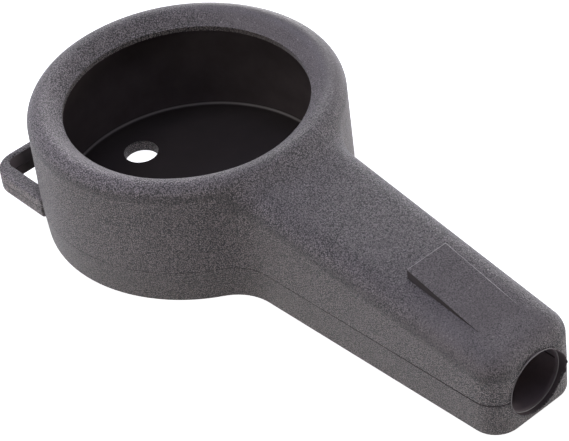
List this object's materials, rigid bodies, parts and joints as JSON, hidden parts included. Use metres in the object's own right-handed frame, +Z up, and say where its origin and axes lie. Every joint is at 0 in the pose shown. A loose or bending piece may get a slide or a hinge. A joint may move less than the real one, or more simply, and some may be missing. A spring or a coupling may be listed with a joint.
{
  "type": "pressure gauge protective boot",
  "caption": "Moulded rubber boot for a small dial pressure gauge: round cup with an inward lip, hollow tapering grip for the stem, hanging eye and vent hole in its floor.",
  "frame": {"origin": "centre of the cup, on the flat underside that the boot lies on", "axes": "+X along the grip, from the cup to the mouth; +Z up out of the cup's opening; the eye is towards -X and -Y"},
  "size_m": [0.1515, 0.0768, 0.0334],
  "materials": {
    "upper_rubber": "matt charcoal rubber with a fine spark-eroded grain",
    "lower_rubber": "matt charcoal rubber, smoother than the upper shell"
  },
  "bodies": {
    "root": {"upper_shell": "upper_rubber", "lower_shell": "lower_rubber"}
  },
  "joints": []
}
